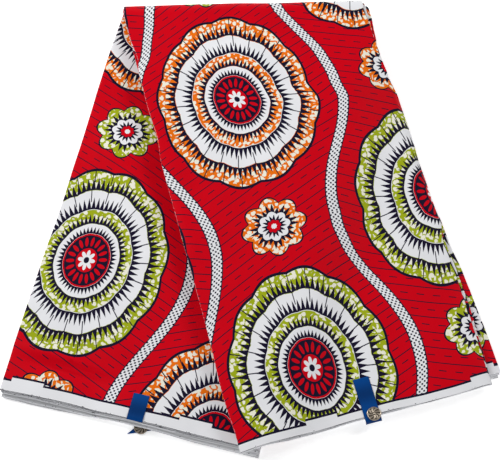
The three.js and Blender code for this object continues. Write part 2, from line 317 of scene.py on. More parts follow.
def on_turn(across_front, across_back, angle, depth):
    """Points of the turn that joins the legs, by the turn's angle from the front leg."""
    share = (1 - np.cos(angle)) / 2
    x = lerp(across_front / math.cos(FRONT_SPLAY), across_back / math.cos(BACK_SPLAY), share)
    radius = OUTER_RADIUS - depth
    front_height = relief(FRONT_CREASES, across_front, across_front * math.tan(FRONT_SPLAY))
    back_height = relief(BACK_CREASES, across_back, -across_back * math.tan(BACK_SPLAY))
    swell = (1 - share) * front_height * (1 - depth / STACK) + share * back_height * depth / STACK
    z = OUTER_RADIUS + radius * np.cos(angle) - (1 - share) * sag(x, 0.0) + swell
    bulge = TURN_BULGE + TURN_SWELL * ease(*TURN_SWELL_SPAN, x)
    y = radius * np.sin(angle) + bulge * np.sin(angle) ** 2
    return np.stack([x, y, z], axis=-1)


# The fold line's middle, from a piece whose place on the front leg is known.
seal_low, seal_high = (Vector(corner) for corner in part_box("seal_front"))
seal_on_strip = on_front_leg(np.array(FRONT_SEAL_ACROSS), np.array(LEG + FRONT_SEAL_ALONG), 0.0)
FOLD_LINE = np.array([*((seal_low + seal_high) / 2).xy, 0.0]) - [*seal_on_strip[:2], 0.0]

# ---- Layers of the stack ----


def partner(layer, side):
    """The layer that a layer's side fold joins it to, or None at the cut ends of the cloth."""
    panel = (layer + 1) // 2
    upper_panel = panel if (panel % 2 == 1) == (side == "right") else panel - 1
    if upper_panel == 0:
        return 3 - layer
    if upper_panel == PANELS:
        return None
    return 4 * upper_panel + 1 - layer


def edge_column(layer, side):
    """The column of the edge tables for a layer's left or right edge."""
    number = (layer + 1) // 4 if side == "left" else (layer - 1) // 4
    return EDGES.split()[number]


# Gaps that open towards the selvages, after these layers: extra room at the front and back end.
OPEN_GAPS = {2: (2.2, 0), 4: (0, 1.5), 8: (0.8, 1.6), 12: (0, 1.5), 16: (0, 1.2)}
OPEN_REACH = 70 * MM
# Extra room away from the edges, where the closely modelled sheets meet the hidden layers.
SHEET_GAPS = (2, 16)
SHEET_ROOM = 1.0
SHEET_ROOM_ASIDE = 25 * MM  # from the sides to where it is full
SHEET_ROOM_REACH = 40 * MM  # and from the ends
# A gap's room sways by a share of it, with pitches across and along, on a slant.
PLY_SWAY = 0.1
PANEL_SWAYS = (0.35, 0.6)
SWAYS_ACROSS = (40 * MM, 95 * MM)
SWAYS_ALONG = (60 * MM, 150 * MM)
SWAY_SLANTS = (-0.6, 0.6)
SWAY_SEED = 11


def gaps_between_layers():
    """For each gap between layers, how its room varies across and along the stack."""
    draw = random.Random(SWAY_SEED)
    gaps = []
    for layer in range(1, LAYERS):
        pressed = layer % 2 == 1
        room = PLY_GAP if pressed else GROUP_GAP if layer == GROUP_SPLIT else PANEL_GAP
        gaps.append({
            "room": room,
            "sway": PLY_SWAY if pressed else draw.uniform(*PANEL_SWAYS),
            "across": draw.uniform(*SWAYS_ACROSS),
            "along": draw.uniform(*SWAYS_ALONG),
            "phase": draw.uniform(0, 2 * math.pi),
            "slant": draw.uniform(*SWAY_SLANTS),
            "open": OPEN_GAPS.get(layer, (0, 0)),
            "inside": SHEET_ROOM if layer in SHEET_GAPS else 0.0,
        })
    return gaps


GAPS = gaps_between_layers()


def layer_depths(across, through):
    """Depths of all the layers' middles, at a place across the strip and along it from the fold."""
    total = np.zeros(np.broadcast(across, through).shape)
    running = [total]
    near_ends = [ease(LEG - OPEN_REACH, LEG, sign * through) for sign in (-1, 1)]
    inside = ease(0, SHEET_ROOM_ASIDE, HALF_PANEL - np.abs(across))
    inside = inside * ease(0, SHEET_ROOM_REACH, LEG - np.abs(through))
    for gap in GAPS:
        swing = np.sin((across + gap["slant"] * through) / gap["across"] + gap["phase"])
        swing = swing * np.cos(through / gap["along"] + 2 * gap["phase"])
        opened = gap["open"][0] * near_ends[0] + gap["open"][1] * near_ends[1]
        total = total + (gap["room"] + opened) * (1 + gap["sway"] * swing) + gap["inside"] * inside
        running.append(total)
    return [SHELL / 2 + (STACK - SHELL) * depth / total for depth in running]


# ---- A layer as a grid of points ----

EDGE_MARGIN = 12 * MM  # from the strip's side to the nearest column that all layers share
RUN_SHARES = np.array([[0.34, 0.67]])  # columns on the way from there to a side fold's arc
ARC_STEPS = 4
UPPER_ARC = math.radians(100)  # how far round a side fold the upper and lower layers reach
LOWER_ARC = math.radians(80)
END_ZONE = 45 * MM  # the last stretch before a selvage, where rows are twice as close
BAND_WAVE, BAND_WAVE_PITCH, BAND_WAVE_STEP = 0.4 * MM, 23 * MM, 2.1  # alike within a band
LAYER_WAVE, LAYER_WAVE_PITCH, LAYER_WAVE_STEP = 0.15 * MM, 9 * MM, 1.3  # each layer's own


def columns_across(spacing):
    count = round((PANEL_WIDTH - 2 * EDGE_MARGIN) / spacing)
    return np.linspace(EDGE_MARGIN - HALF_PANEL, HALF_PANEL - EDGE_MARGIN, count + 1)


def rows_along(spacing):
    """Shares of the way from the fold line to the selvage."""
    last = 1 - END_ZONE / LEG
    even = np.linspace(0, last, round((LEG - END_ZONE) / spacing))
    close = np.linspace(last, 1, round(2 * END_ZONE / spacing) + 1)
    return np.concatenate([even, close[1:]])


def selvage_shift(leg, layer, across):
    """How far a layer's selvage passes the leg's end line, with its band's and its own waves."""
    lines = [np.interp(across, leg["ends"]["across"], leg["ends"][mark]) for mark in LAYER_MARKS]
    level = next(level for last, level in BANDS if layer <= last)
    place = np.interp(level, list(LAYER_MARKS.values()), range(len(lines)))
    before = min(int(place), len(lines) - 2)
    band = np.sin(across / BAND_WAVE_PITCH + BAND_WAVE_STEP * level + leg["phase"])
    own = np.sin(across / LAYER_WAVE_PITCH + LAYER_WAVE_STEP * layer * layer)
    waves = BAND_WAVE * band + LAYER_WAVE * own
    return lerp(lines[before], lines[before + 1], place - before) + waves


LEGS = {
    "front": {
        "sign": -1, "slope": math.tan(FRONT_SPLAY), "left": FRONT_LEFT, "right": FRONT_RIGHT,
        "ends": FRONT_ENDS, "phase": 0.0, "rolled_layers": ROLLED_LAYERS,
    },
    "back": {
        "sign": 1, "slope": -math.tan(BACK_SPLAY), "left": BACK_LEFT, "right": BACK_RIGHT,
        "ends": BACK_ENDS, "phase": 1.7, "rolled_layers": 0,
    },
}


def rolled_over(across, depth, crest, rolled):
    """Bends the uppermost layers down over the stack's right-hand side.

    The third value is where across the bend ends, measured as if the layers lay flat.
    """
    pack = STACK * (ROLLED_LAYERS - 0.5) / LAYERS
    outer = ROLL_RADIUS + pack
    turned = ROLL_ANGLE * rolled
    start = crest - outer * np.sin(turned)
    reach = np.maximum((ROLL_RADIUS + pack / 2) * turned, 1e-9)
    angle = turned * np.clip((across - start) / reach, 0, None)
    radius = outer - depth
    bent_across = start + radius * np.sin(angle)
    bent_depth = outer - radius * np.cos(angle)
    past = across > start
    return np.where(past, bent_across, across), np.where(past, bent_depth, depth), start + reach


def side_fold(layer, leg, side, shares):
    """Across and depth of the columns that lead to a layer's side, then halfway round its fold."""
    sign = -1 if side == "left" else 1
    edge = np.array(sign * HALF_PANEL)
    along = lerp(edge * leg["slope"], LEG + selvage_shift(leg, layer, edge), shares)
    crest = HALF_PANEL + eased(leg[side], edge_column(layer, side), along)
    depths = layer_depths(edge, leg["sign"] * along)
    own = depths[layer - 1]
    other = partner(layer, side)
    flat_crest = crest
    rolls = side == "right" and layer <= leg["rolled_layers"]
    if rolls:
        rolled = over_both(ROLL_SPANS, along)
        bend_end = rolled_over(crest, own, crest, rolled)[2]
        flat_crest = lerp(crest, bend_end, ease(0, ROLL_ONSET, rolled))
    steps = np.linspace(0, 1, ARC_STEPS + 1)[None, :]
    if other is None:
        arc_across = flat_crest - SHELL * (1 - steps)
        arc_depth = own + 0 * steps
    else:
        centre = (own + depths[other - 1]) / 2
        radius = np.abs(own - centre)
        angle = steps * (UPPER_ARC if layer < other else LOWER_ARC)
        arc_across = flat_crest - radius + radius * np.sin(angle)
        arc_depth = centre + (own - centre) * np.cos(angle)
    run = lerp(HALF_PANEL - EDGE_MARGIN, arc_across[:, :1], RUN_SHARES)
    run_depth = layer_depths(sign * run, leg["sign"] * along)[layer - 1]
    across = np.concatenate([run, arc_across], axis=1)
    depth = np.concatenate([run_depth, arc_depth], axis=1)
    if rolls:
        across, depth, _ = rolled_over(across, depth, crest, rolled)
    return sign * across, depth


def leg_section(layer, leg, shares, inner_columns):
    """Across, along and depth of a layer's points on one leg, a row for each share of the way."""
    shares = shares[:, None]
    left_across, left_depth = side_fold(layer, leg, "left", shares)
    right_across, right_depth = side_fold(layer, leg, "right", shares)
    inner = np.broadcast_to(inner_columns, (len(shares), len(inner_columns)))
    across = np.concatenate([left_across[:, ::-1], inner, right_across], axis=1)
    end = LEG + selvage_shift(leg, layer, across)
    along = lerp(across * leg["slope"], end, shares)
    inner_depth = layer_depths(across, leg["sign"] * along)[layer - 1]
    inner_depth = inner_depth[:, left_depth.shape[1]:-right_depth.shape[1]]
    depth = np.concatenate([left_depth[:, ::-1], inner_depth, right_depth], axis=1)
    return across, along, depth, end


def unrolled(across, depth):
    """Places across the panel, measured over each row's bends and scaled to the panel's width."""
    steps = np.hypot(np.diff(across, axis=1), np.diff(depth, axis=1))
    reach = np.concatenate([np.zeros((len(across), 1)), np.cumsum(steps, axis=1)], axis=1)
    return (reach / reach[:, -1:] - 0.5) * PANEL_WIDTH


def layer_grid(layer, column_spacing, row_spacing, turn_steps):
    """Points of a layer's middle from the front selvage to the back one, and their cloth places."""
    inner = columns_across(column_spacing)
    shares = rows_along(row_spacing)
    front_across, front_along, front_depth, front_end = leg_section(layer, LEGS["front"], shares, inner)
    back_across, back_along, back_depth, back_end = leg_section(layer, LEGS["back"], shares, inner)
    front = on_front_leg(front_across, front_along, front_depth)[::-1]
    back = on_back_leg(back_across, back_along, back_depth)
    angles = np.linspace(0, math.pi, turn_steps + 1)[1:-1, None]
    share = angles / math.pi
    turn_depth = lerp(front_depth[0], back_depth[0], share)
    turn = on_turn(front_across[0] + 0 * angles, back_across[0] + 0 * angles, angles, turn_depth)
    points = np.concatenate([front, turn, back]) + FOLD_LINE

    front_width = (front_end - front_along)[::-1]
    back_width = CLOTH_WIDTH - (back_end - back_along)
    turn_width = lerp(front_width[-1], back_width[0], share)
    width = np.concatenate([front_width, turn_width, back_width])
    front_place = unrolled(front_across, front_depth)
    back_place = unrolled(back_across, back_depth)
    turn_place = lerp(front_place[0], back_place[0], share)
    across = np.concatenate([front_place[::-1], turn_place, back_place])
    panel = (layer + 1) // 2
    along_cloth = (panel - 1) * PANEL_WIDTH + HALF_PANEL + (across if panel % 2 == 1 else -across)
    upper_ply = layer % 4 in (0, 1)
    length = CLOTH_LENGTH / 2 + (along_cloth if upper_ply else -along_cloth)
    return points, np.stack([length, width], axis=-1)


# ---- Meshes ----

SHARP_CLOTH = math.radians(60)
SHARP_FOIL = math.radians(50)


def quads(a, b, c, d):
    return np.stack([a, b, c, d], axis=-1).reshape(-1, 4)


def shell_of(points, thickness):
    """Vertices and quads of a closed shell round a grid of points, of one thickness or of many."""
    rows, columns = points.shape[:2]
    down_rows = np.gradient(points, axis=0)
    over_columns = np.gradient(points, axis=1)
    normals = np.cross(over_columns, down_rows)
    normals /= np.maximum(np.linalg.norm(normals, axis=-1, keepdims=True), 1e-12)
    vertices = np.concatenate([
        (points + normals * thickness / 2).reshape(-1, 3),
        (points - normals * thickness / 2).reshape(-1, 3),
    ])
    top = np.arange(rows * columns).reshape(rows, columns)
    bottom = top + rows * columns
    faces = np.concatenate([
        quads(top[:-1, :-1], top[:-1, 1:], top[1:, 1:], top[1:, :-1]),
        quads(bottom[:-1, :-1], bottom[1:, :-1], bottom[1:, 1:], bottom[:-1, 1:]),
        quads(top[:-1, 0], top[1:, 0], bottom[1:, 0], bottom[:-1, 0]),
        quads(top[:-1, -1], bottom[:-1, -1], bottom[1:, -1], top[1:, -1]),
        quads(top[0, :-1], bottom[0, :-1], bottom[0, 1:], top[0, 1:]),
        quads(top[-1, :-1], top[-1, 1:], bottom[-1, 1:], bottom[-1, :-1]),
    ])
    return vertices, faces


def new_object(name, data):
    made = bpy.data.objects.new(name, data)
    bpy.context.scene.collection.objects.link(made)
    return made


def finished_piece(name, mesh, places, sharp, material):
    """The mesh as an object, shaded smooth but for its sharp edges, with a cloth place a vertex."""
    corners = np.empty(len(mesh.loops), dtype=np.int32)
    mesh.loops.foreach_get("vertex_index", corners)
    place_map = mesh.uv_layers.new(name="Cloth")
    place_map.data.foreach_set("uv", places[corners].astype(np.float32).ravel())
    mesh.polygons.foreach_set("use_smooth", np.ones(len(mesh.polygons), dtype=bool))
    mesh.set_sharp_from_angle(angle=sharp)
    mesh.materials.append(material)
    return new_object(name, mesh)


def mesh_piece(name, grids, material):
    """One object of closed shells, from grids of points with their places and thicknesses."""
    vertices, faces, places = [], [], []
    for grid_points, grid_places, thickness in grids:
        shell_vertices, shell_faces = shell_of(grid_points, thickness)
        faces.append(shell_faces + sum(map(len, vertices)))
        vertices.append(shell_vertices)
        places += [grid_places.reshape(-1, 2)] * 2
    vertices, faces, places = (np.concatenate(part) for part in (vertices, faces, places))
    mesh = bpy.data.meshes.new(name)
    mesh.vertices.add(len(vertices))
    mesh.vertices.foreach_set("co", vertices.astype(np.float32).ravel())
    mesh.loops.add(faces.size)
    mesh.loops.foreach_set("vertex_index", faces.astype(np.int32).ravel())
    mesh.polygons.add(len(faces))
    mesh.polygons.foreach_set("loop_start", np.arange(0, faces.size, 4, dtype=np.int32))
    mesh.update(calc_edges=True)
    mesh.validate()
    return finished_piece(name, mesh, places, SHARP_CLOTH, material)


def cloth_piece(name, layers, material, column_spacing, row_spacing, turn_steps):
    grids = []
    for layer in layers:
        points, places = layer_grid(layer, column_spacing, row_spacing, turn_steps)
        from_selvage = np.minimum(places[..., 1:], CLOTH_WIDTH - places[..., 1:])
        thickness = SHELL + SELVAGE_SWELL * ease(*SELVAGE_SWELL_SPAN, from_selvage)
        grids.append((points, places, thickness))
    return mesh_piece(name, grids, material)


# ---- Materials: formulas as node trees ----


def operation(name):
    """A method that puts one math node after a formula."""
    return lambda formula, *others: formula.node(name, *others)


class Formula:
    """A number inside a material's node tree, which takes part in ordinary arithmetic."""

    def __init__(self, tree, socket):
        self.tree = tree
        self.socket = socket

    def node(self, name, *others):
        made = self.tree.nodes.new("ShaderNodeMath")
        made.operation = name
        for place, value in zip(made.inputs, (self, *others)):
            if isinstance(value, Formula):
                self.tree.links.new(value.socket, place)
            else:
                place.default_value = value
        return Formula(self.tree, made.outputs[0])

    __add__ = __radd__ = operation("ADD")
    __sub__ = operation("SUBTRACT")
    __mul__ = __rmul__ = __and__ = operation("MULTIPLY")
    __truediv__ = operation("DIVIDE")
    __or__ = operation("MAXIMUM")
    __lt__ = operation("LESS_THAN")
    __gt__ = operation("GREATER_THAN")
    size = operation("ABSOLUTE")
    raised = operation("POWER")
    sine = operation("SINE")
    cosine = operation("COSINE")
    whole = operation("FLOOR")
    fraction = operation("FRACT")

    def __rsub__(self, other):
        return self * -1.0 + other

    def between(self, low, high):
        """1 between two numbers."""
        middle = (low + high) * 0.5
        half = (high - low) * 0.5
        return (self - middle).size() < half

    def hypotenuse(self, other):
        return (self * self + other * other).node("SQRT")

    def angle(self, across):
        """Turns from 0 to 1 round the origin, of which this number is the sine side."""
        return self.node("ARCTAN2", across) * (0.5 / math.pi) + 0.5

    def odd(self):
        """1 for an odd whole number, 0 for an even one."""
        return (self * 0.5).fraction() * 2

    def from_middle(self):
        """Distance from the middle of each unit-wide cell, 0 to 0.5."""
        return (self.fraction() - 0.5).size()


# ---- The print ----

RED = (0.56, 0.0, 0.007)
NAVY = (0.008, 0.006, 0.022)
WHITE = (0.76, 0.765, 0.79)
CREAM = (0.80, 0.785, 0.66)
LIME = (0.32, 0.38, 0.010)
ORANGE = (0.76, 0.15, 0.004)
# The pale pink of the painted highlight along the fold lines
FOLD_HIGHLIGHT = (0.74, 0.36, 0.42)

# The print repeats in columns along the cloth, each second one moved by half a repeat across it.
# Sizes inside the print are in millimetres.
COLUMN = 200
REPEAT = 367
FIRST_COLUMN = 52.5
FIRST_ROW = 71
MEDALLION = 98
OVAL = 1.3  # how much longer it is than wide
LOBES, LOBE_DEPTH = 12, 4.5
BLOSSOM = 40
PETALS, PETAL_DEPTH = 8, 0.2
TOOTH_ROOT, TOOTH_CURVE = 1.6, 1.25
VINE_SWAY = 27
VINE_HALF_WIDTH = 7.4
VINE_OUTLINE = 1.4
VINE_CHECK, CHECK_INSET, CHECK_LIMIT = 5.6, 1, 0.62
RIPPLE, RIPPLE_LINE, RIPPLE_LEAN = 20, 0.6, 0.42
DASH, DASH_LINE, DASH_SHARE, DASH_SHIFT = 18, 0.62, 0.46, 0.37
# How far the painted highlight along the folds reaches, and how strongly it is painted
FOLD_HIGHLIGHT_SPREAD, FOLD_HIGHLIGHT_LEAST, FOLD_HIGHLIGHT_STRENGTH = 2.4, 0.75, 0.55
SELVAGE, FAR_SELVAGE, BORDER = 8.5, 12, 2.5
# Along a share of each column the selvages are wider.
WIDER, WIDER_FROM, FAR_WIDER_SHIFT, WIDER_SHARE = 4.8, 26.5, 30, 0.19
SPECKS, SPECK_LIMIT = (0.4, 1.2), 0.8
SHADE_LINE_WIDTH, SHADE_LINE_EVERY = 0.3, 8  # one panel in eight has a navy line of painted shade at its selvage edge, for the gaps between layers


class Printing:
    """Paints one flat colour over another, as the screens of a print do."""

    def __init__(self, tree, ground):
        self.tree = tree
        self.colour = ground

    def mixed(self, under, over, mask):
        made = self.tree.nodes.new("ShaderNodeMix")
        made.data_type = "RGBA"
        factor, first, second = (made.inputs[number] for number in (0, 6, 7))
        self.tree.links.new(mask.socket, factor)
        for place, value in ((first, under), (second, over)):
            if isinstance(value, tuple):
                place.default_value = (*value, 1)
            else:
                self.tree.links.new(value, place)
        return made.outputs[2]

    def paint(self, mask, colour):
        self.colour = self.mixed(self.colour, colour, mask)

    def stamp(self, around, radius, parts, crackle):
        """Prints the parts of a round motif, one over another."""
        for shape, sizes, fill in parts:
            self.paint(shape(around, radius, *sizes), crackle if fill == "crackle" else fill)


def disc(around, radius, reach):
    return radius < reach


def spikes(around, radius, count, base, tip):
    """A ring of pointed teeth that stand outwards on a base circle."""
    share = 1 - (around * count).from_middle() * 2
    return radius.between(base - TOOTH_ROOT, base + share.raised(TOOTH_CURVE) * (tip - base))


def rays(around, radius, count, low, high, width):
    """Thin radial lines."""
    aside = (around * count).from_middle() * radius * (2 * math.pi / count)
    return (aside < width / 2) & radius.between(low, high)


def seeds(around, radius, count, middle, half_length, half_width):
    """A ring of almond-shaped spots that point at the centre."""
    aside = (around * count).from_middle() * radius * (2 * math.pi / count / half_width)
    return aside.hypotenuse((radius - middle) / half_length) < 1


def star(around, radius, points, valley, tip):
    return radius < (around * (points * math.pi)).cosine().size() * (tip - valley) + valley


# The parts of a motif in the order of printing: the shape, its sizes and its fill.
BLOSSOM_PARTS = (
    (disc, (BLOSSOM,), NAVY),
    (disc, (BLOSSOM - 2.2,), "crackle"),
    (spikes, (24, 21, 31), NAVY),
    (disc, (19.5,), WHITE),
    (spikes, (16, 10, 16), NAVY),
    (disc, (8.5,), RED),
    (disc, (3.5,), WHITE),
)
MEDALLION_PARTS = (
    (disc, (MEDALLION,), NAVY),
    (disc, (95,), "crackle"),
    (spikes, (84, 76.5, 88.5), NAVY),
    (disc, (74.4,), WHITE),
    (spikes, (68, 55.6, 67), NAVY),
    (disc, (53.4,), "crackle"),
    (spikes, (56, 40.4, 49), NAVY),
    (disc, (38.6,), WHITE),
    (spikes, (48, 29.8, 35.6), NAVY),
    (rays, (26, 83, MEDALLION, 1.1), NAVY),
    (rays, (22, 62, 76, 1.1), NAVY),
    (disc, (28,), RED),
    (disc, (26.2,), NAVY),
    (seeds, (18, 19.5, 5, 1.9), RED),
    (disc, (12.5,), RED),
    (star, (8, 5, 10.5), WHITE),
    (disc, (3.2,), NAVY),
)


def texture(tree, kind, place, output, **settings):
    """One of a texture's outputs, as a formula."""
    made = tree.nodes.new(kind)
    for name, value in settings.items():
        if name in made.inputs:
            made.inputs[name].default_value = value
        else:
            setattr(made, name, value)
    tree.links.new(place, made.inputs["Vector"])
    return Formula(tree, made.outputs[output])


def noise(tree, place, scale, detail, output="Fac"):
    return texture(tree, "ShaderNodeTexNoise", place, output, Scale=scale, Detail=detail)


VEIN_SPREAD, VEIN_LEAST, DROP_RADIUS = 0.62, 0.03, 0.27
WAX_BEND = 0.0045  # share of the way from a place to the noise's colour there


def wax_crackle(tree, place):
    """Round drops and veins, as cracked wax leaves them: 1 where it kept the dye off."""
    shift = tree.nodes.new("ShaderNodeMix")
    shift.data_type = "VECTOR"
    shift.inputs["Factor"].default_value = WAX_BEND
    tree.links.new(place, shift.inputs["A"])
    tree.links.new(noise(tree, place, 160, 2, "Color").socket, shift.inputs["B"])
    cells = ("ShaderNodeTexVoronoi", shift.outputs[1], "Distance")
    edge = texture(tree, *cells, Scale=150, voronoi_dimensions="2D", feature="DISTANCE_TO_EDGE")
    near = texture(tree, *cells, Scale=105, voronoi_dimensions="2D")
    patch = noise(tree, place, 60, 1)
    return (edge > patch * VEIN_SPREAD - VEIN_LEAST) | (near < DROP_RADIUS)


def paint_ripples(screen, length, width, leans_back):
    """Rippled lines, whole and dashed by turns, that lean one way or the other."""
    ripple = (width + length * ((leans_back * 2 - 1) * RIPPLE_LEAN)) / RIPPLE
    screen.paint(ripple.from_middle() > 0.5 - RIPPLE_LINE / RIPPLE, NAVY)
    dashed = (length / DASH + ripple.whole() * DASH_SHIFT).fraction() < DASH_SHARE
    screen.paint((ripple.from_middle() < DASH_LINE / RIPPLE) & dashed, NAVY)


def paint_vine(screen, from_vine, along):
    """A checked vine with a dark outline."""
    aside = from_vine.size()
    screen.paint(aside < VINE_HALF_WIDTH, NAVY)
    screen.paint(aside < VINE_HALF_WIDTH - VINE_OUTLINE, WHITE)
    one_way = ((from_vine + along) / VINE_CHECK).from_middle()
    other_way = ((from_vine - along) / VINE_CHECK).from_middle()
    dark = one_way + other_way > CHECK_LIMIT
    screen.paint((aside < VINE_HALF_WIDTH - CHECK_INSET) & dark, NAVY)


def paint_blossom(screen, across, along, crackle):
    around = along.angle(across)
    petals = (around * (PETALS * math.pi)).cosine().size() * PETAL_DEPTH + (1 - PETAL_DEPTH)
    screen.stamp(around, along.hypotenuse(across) / petals, BLOSSOM_PARTS, crackle)


def paint_medallion(screen, across, along, crackle):
    tall = along / OVAL
    around = tall.angle(across)
    radius = tall.hypotenuse(across)
    lobes = 1 - (around * (LOBES * math.pi)).sine().size()
    outward = radius * (1 / MEDALLION)
    radius = radius + outward * outward * lobes * LOBE_DEPTH
    screen.stamp(around, radius, MEDALLION_PARTS, crackle)


def paint_edges(screen, length, width, highlight_and_speck_noise):
    """A painted highlight along the fold lines, white selvages with a dark border inside, and painted
    shade lines at the edges of some panels.
    """
    # A pale pink painted highlight along the fold lines, broken up by noise.
    panel = length * (MM / PANEL_WIDTH)
    from_fold = (0.5 - panel.from_middle()) * (PANEL_WIDTH / MM)
    screen.paint((from_fold < highlight_and_speck_noise) * FOLD_HIGHLIGHT_STRENGTH, FOLD_HIGHLIGHT)

    middle = CLOTH_WIDTH / MM / 2
    far_half = width > middle
    from_edge = middle - (width - middle).size()
    wider = ((length - WIDER_FROM - far_half * FAR_WIDER_SHIFT) / COLUMN).fraction() < WIDER_SHARE
    strip = SELVAGE + far_half * (FAR_SELVAGE - SELVAGE) + wider * WIDER
    screen.paint(from_edge < strip + BORDER, NAVY)
    screen.paint(from_edge < strip, WHITE)
    screen.paint(from_edge.between(*SPECKS) & (highlight_and_speck_noise > SPECK_LIMIT), NAVY)
    # Painted shade: a navy line on the selvage edges and end faces of one panel in eight, for the dark
    # gaps between layers.
    shade_lined_panel = (panel.whole() / SHADE_LINE_EVERY).fraction() < 0.5 / SHADE_LINE_EVERY
    screen.paint((from_edge < SHADE_LINE_WIDTH) & shade_lined_panel, NAVY)


def print_colours(tree, place, length, width):
    """The whole print, from the ripples on its ground to the selvages."""
    screen = Printing(tree, RED)
    column = ((length - FIRST_COLUMN) / COLUMN + 0.5).whole()
    across = length - FIRST_COLUMN - column * COLUMN
    dropped = width - FIRST_ROW + column.odd() * (REPEAT / 2)
    row = (dropped / REPEAT + 0.5).whole()
    along = dropped - row * REPEAT
    from_vine = across.size() - ((along * (2 * math.pi / REPEAT)).cosine() * VINE_SWAY + COLUMN / 2)
    paint_ripples(screen, length, width, (column.odd() - (from_vine > 0)).size())
    paint_vine(screen, from_vine, along)

    wax = wax_crackle(tree, place)
    blossom_row = (dropped / REPEAT).whole()
    colour = screen.mixed(ORANGE, LIME, (column + blossom_row).odd())
    from_blossom = dropped - (blossom_row + 0.5) * REPEAT
    paint_blossom(screen, across, from_blossom, screen.mixed(colour, CREAM, wax))
    colour = screen.mixed(LIME, ORANGE, (column + row).odd())
    paint_medallion(screen, across, along, screen.mixed(colour, CREAM, wax))

    paint_edges(screen, length, width, noise(tree, place, 260, 2) * FOLD_HIGHLIGHT_SPREAD - FOLD_HIGHLIGHT_LEAST)
    return screen.colour


def new_material(name):
    material = bpy.data.materials.new(name)
    material.use_nodes = True
    return material, material.node_tree, material.node_tree.nodes["Principled BSDF"]


def cloth_places(tree, unit=1.0):
    """The Cloth map, and its two numbers as formulas in some unit."""
    places = tree.nodes.new("ShaderNodeUVMap")
    places.uv_map = "Cloth"
    split = tree.nodes.new("ShaderNodeSeparateXYZ")
    tree.links.new(places.outputs["UV"], split.inputs[0])
    first, second = (Formula(tree, split.outputs[axis]) * (1 / unit) for axis in "XY")
    return places.outputs["UV"], first, second


def add_bump(tree, shader, height, strength, distance):
    bump = tree.nodes.new("ShaderNodeBump")
    bump.inputs["Strength"].default_value = strength
    bump.inputs["Distance"].default_value = distance
    tree.links.new(height.socket, bump.inputs["Height"])
    tree.links.new(bump.outputs[0], shader.inputs["Normal"])


THREAD = 0.55  # millimetres a thread of cotton
TONES = (0.88, 1.08)  # the cotton's darkest and lightest patches: uneven dye, and painted shade and light of soft wrinkles
RIB = 0.5  # millimetres a rib of satin
HIGHLIGHT_BAND_SPACING = 40  # millimetres between a ribbon's bands of painted highlight
RIBBON_EDGE = 0.465  # share of the ribbon's width, from its middle to where its sides are painted darker


def wax_print_cotton():
    """Starched cotton printed on both faces, with its weave and a faint waxy gloss."""
    material, tree, shader = new_material("printed_cotton")
    place, length, width = cloth_places(tree, MM)
    colour = print_colours(tree, place, length, width)

    # Patches of uneven dye, and painted shade and light of soft wrinkles, over the print.
    tone = noise(tree, place, 18, 4)
    shade = tone * (TONES[1] - TONES[0]) + TONES[0]
    tint = tree.nodes.new("ShaderNodeVectorMath")
    tint.operation = "SCALE"
    tree.links.new(colour, tint.inputs[0])
    tree.links.new(shade.socket, tint.inputs["Scale"])
    tree.links.new(tint.outputs[0], shader.inputs["Base Color"])

    turn = 2 * math.pi / THREAD
    weave = (length * turn).sine() * (width * turn).sine()
    height = weave * 0.25 + noise(tree, place, 420, 3)
    add_bump(tree, shader, height, strength=0.25, distance=0.12 * MM)
    tree.links.new((tone * 0.16 + 0.5).socket, shader.inputs["Roughness"])
    shader.inputs["Specular IOR Level"].default_value = 0.04
    return material


def satin():
    """Blue satin ribbon: fine ribs across it, and bands of painted highlight along it for a long soft
    gloss.
    """
    material, tree, shader = new_material("satin_ribbon")
    place, across, along = cloth_places(tree, MM)
    streak = tree.nodes.new("ShaderNodeMapping")
    streak.inputs["Scale"].default_value = (900, 60, 1)
    tree.links.new(place, streak.inputs[0])
    tone = noise(tree, streak.outputs[0], 1, 2)
    edge = (across / (RIBBON_WIDTH / MM)).size() > RIBBON_EDGE
    # Painted highlight: brighter blue bands along the ribbon.
    painted_gloss = (along * (2 * math.pi / HIGHLIGHT_BAND_SPACING)).cosine() * 0.45 + 0.45
    satin_colours = Printing(tree, (0.0, 0.023, 0.115))
    satin_colours.paint(tone * 0.4, (0.0, 0.05, 0.20))
    satin_colours.paint(painted_gloss, (0.0, 0.054, 0.245))
    # Darker towards the ribbon's sides.
    satin_colours.paint(edge * 0.5, (0.0, 0.022, 0.10))
    tree.links.new(satin_colours.colour, shader.inputs["Base Color"])
    height = (along * (2 * math.pi / RIB)).sine() * 0.5 + tone
    add_bump(tree, shader, height, strength=0.3, distance=0.1 * MM)
    tree.links.new((tone * 0.15 + 0.28).socket, shader.inputs["Roughness"])
    shader.inputs["Specular IOR Level"].default_value = 0.1
    return material


def gold_foil():
    """Embossed foil, with painted highlight on its ridges and painted shade between them."""
    material, tree, shader = new_material("gold_foil")
    place, ridge, _ = cloth_places(tree)
    grain = noise(tree, place, 9, 3)
    # Painted shade in the hollows and painted highlight on the ridges, following the ridge heights in
    # the Cloth map.
    foil = Printing(tree, (0.035, 0.025, 0.014))
    foil.paint(ridge, (0.54, 0.46, 0.37))
    tree.links.new(foil.colour, shader.inputs["Base Color"])
    tree.links.new((grain * 0.2 + 0.24).socket, shader.inputs["Roughness"])
    shader.inputs["Metallic"].default_value = 0.85
    return material


# ---- Ribbons and seals ----

FRONT_RIBBON_PATH = table(
    "past above",
    (-46, 0), (-40, 0), (-30, 0.05), (-20, 0.1), (-10, 0.05), (0, 0), (3.5, 0.1), (6.2, -0.2),
    (8, -1.3), (8.7, -2.6), (8.6, -3.9),
)
BACK_RIBBON_PATH = table(
    "past above",
    (-28, 0), (-20, 0.05), (-10, 0.1), (-3, 0.15), (0, 0.5), (1.8, 0.45), (3.6, -0.2), (4.6, -0.9),
)


def path_length(path):
    return float(np.hypot(np.diff(path["past"]), np.diff(path["above"])).sum())


